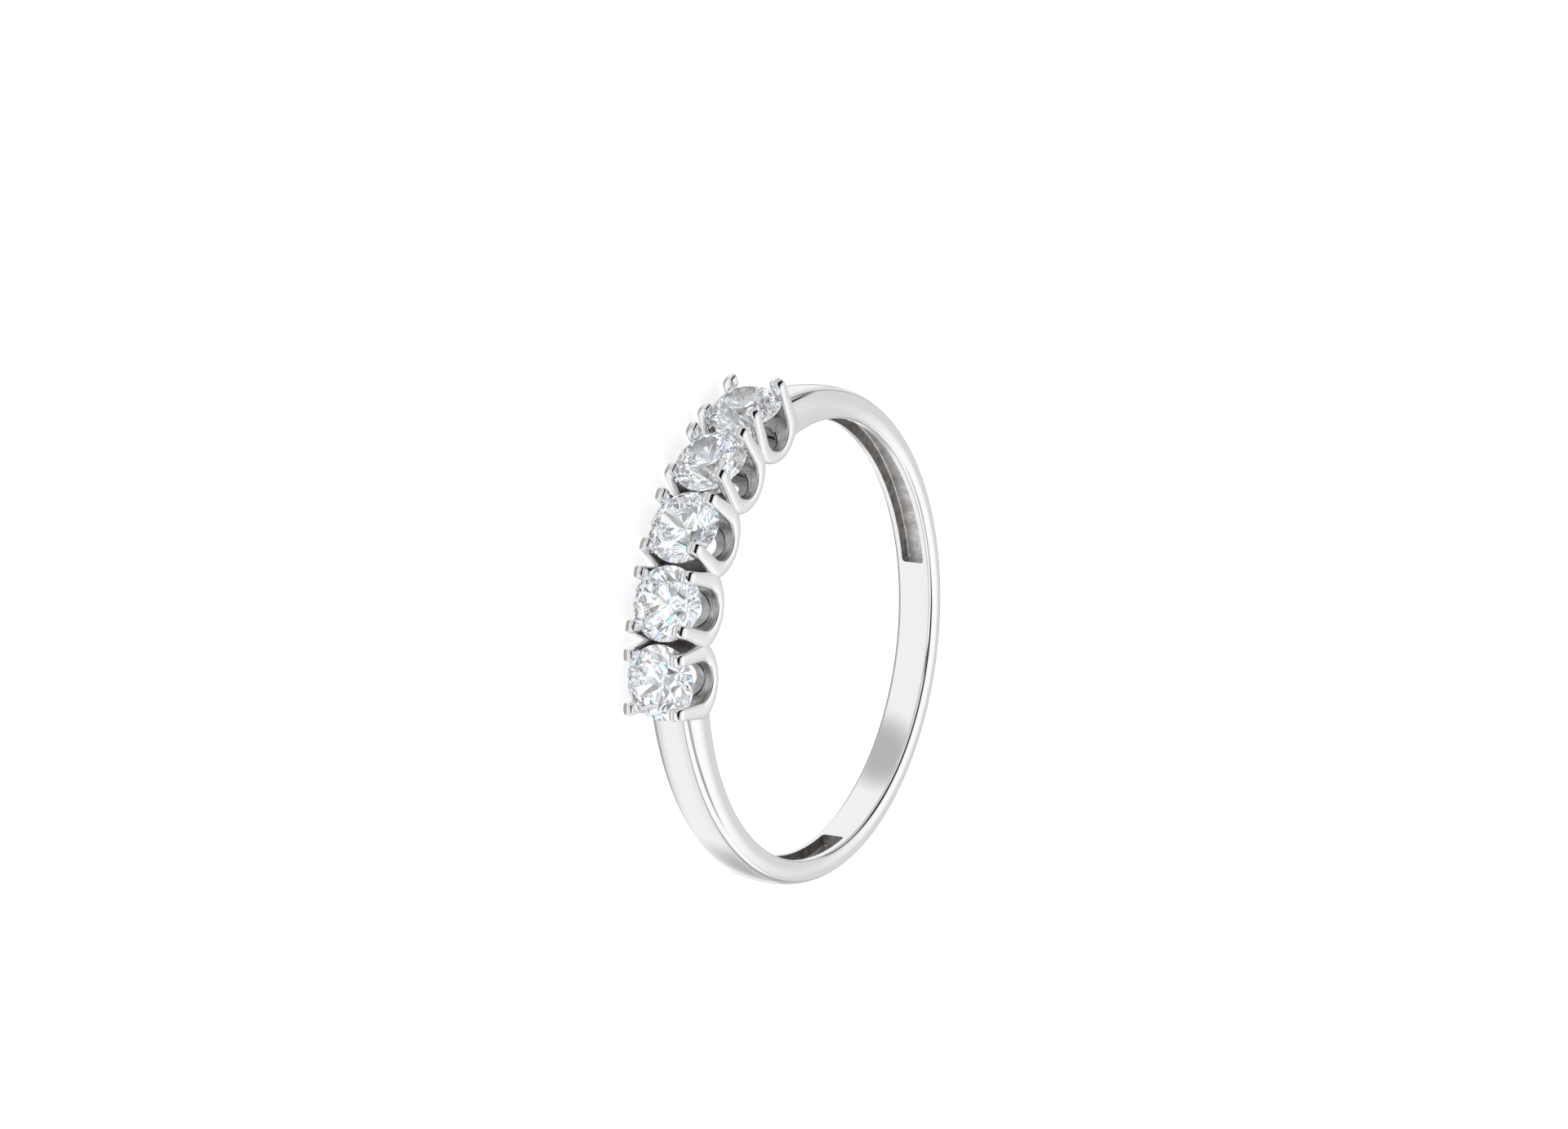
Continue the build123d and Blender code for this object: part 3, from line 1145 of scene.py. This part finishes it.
def studio_sky(scene, settings, back):
    """The studio round the ring: one sky for the metal, one for the stones and white behind."""
    world = bpy.data.worlds.new("studio")
    scene.world = world
    world.use_nodes = True
    tree = world.node_tree
    tree.nodes.clear()
    direction = add_node(tree, "ShaderNodeTexCoord").outputs["Generated"]
    kinds = add_node(tree, "ShaderNodeLightPath").outputs
    level = metal_sky(tree, direction, settings, back)
    level = calculate(tree, "MAXIMUM", level, kinds["Is Camera Ray"])
    grey = colour_of(tree, (level, level, level))
    sparkle = stone_sky(tree, direction, settings, back)
    colour = blend_colour(tree, kinds["Is Transmission Ray"], grey, sparkle)
    shader = add_node(tree, "ShaderNodeBackground", {"Color": colour, "Strength": 1.0})
    output = add_node(tree, "ShaderNodeOutputWorld")
    tree.links.new(shader.outputs[0], output.inputs[0])


def add_camera(scene, back):
    """The camera, looking along the ring as the photograph does."""
    lens = bpy.data.cameras.new("camera")
    camera = bpy.data.objects.new("camera", lens)
    scene.collection.objects.link(camera)
    upright = back.to_track_quat("Z", "Y").to_matrix()
    turned = upright @ Matrix.Rotation(math.radians(CAMERA_ROLL), 3, "Z")
    place = Vector(CAMERA_AIM) * MM + back * CAMERA_DISTANCE * MM
    camera.matrix_world = Matrix.LocRotScale(place, turned.to_quaternion(), None)
    lens.lens = FOCAL_LENGTH
    lens.sensor_width = SENSOR_WIDTH
    lens.clip_start = 1 * MM
    scene.camera = camera


def add_floor(context, settings):
    """The plain pale floor under the ring."""
    bpy.ops.mesh.primitive_circle_add(vertices=FLOOR_CORNERS, radius=FLOOR_RADIUS, fill_type="NGON")
    floor = context.object
    floor.name = "floor"
    floor.data.transform(Matrix.Translation((0, 0, CAD_LOW.z)))
    material, tree, output = new_material("floor")
    values = {
        "Base Color": (0.9, 0.9, 0.9, 1),
        "Roughness": 0.6,
        "Emission Color": (1, 1, 1, 1),
        "Emission Strength": settings.floor,
    }
    finish_material(tree, output, values)
    floor.data.materials.append(material)
    floor.visible_glossy = False
    floor.visible_transmission = False
    return floor


class RING_OT_stage(Operator):
    """Make the camera, the floor and the light of the studio"""

    bl_idname = "ring.stage"
    bl_label = "Studio"

    def execute(self, context):
        scene = context.scene
        settings = scene.ring_studio
        back = sky_direction(*CAMERA_PLACE)
        add_camera(scene, back)
        scene.view_settings.view_transform = "Standard"
        scene.cycles.max_bounces = BOUNCES
        scene.cycles.glossy_bounces = BOUNCES
        scene.cycles.transmission_bounces = BOUNCES
        floor = add_floor(context, settings)
        studio_sky(scene, settings, back)
        return {"FINISHED"}


class RING_PT_panel(Panel):
    """Sizes, colours and steps of the ring"""

    bl_idname = "RING_PT_panel"
    bl_label = "Five stone ring"
    bl_space_type = "VIEW_3D"
    bl_region_type = "UI"
    bl_category = "Ring"

    def draw(self, context):
        scene = context.scene
        for group in (scene.ring_sizes, scene.ring_finish, scene.ring_studio):
            for name in group.__annotations__:
                self.layout.prop(group, name)
        for operator in OPERATORS:
            self.layout.operator(operator.bl_idname)


OPERATORS = (RING_OT_band, RING_OT_settings, RING_OT_stones, RING_OT_stage)
CLASSES = (RingSizes, RingFinish, StudioSettings, *OPERATORS, RING_PT_panel)


def register():
    """Register the classes and give each scene the ring's settings."""
    for item in CLASSES:
        bpy.utils.register_class(item)
    bpy.types.Scene.ring_sizes = PointerProperty(type=RingSizes)
    bpy.types.Scene.ring_finish = PointerProperty(type=RingFinish)
    bpy.types.Scene.ring_studio = PointerProperty(type=StudioSettings)


def unregister():
    """Take the settings and the classes away again."""
    del bpy.types.Scene.ring_sizes
    del bpy.types.Scene.ring_finish
    del bpy.types.Scene.ring_studio
    for item in reversed(CLASSES):
        bpy.utils.unregister_class(item)


def main():
    """Make the ring and its studio."""
    register()
    for operator in OPERATORS:
        family, name = operator.bl_idname.split(".")
        getattr(getattr(bpy.ops, family), name)()


if __name__ == "__main__":
    main()
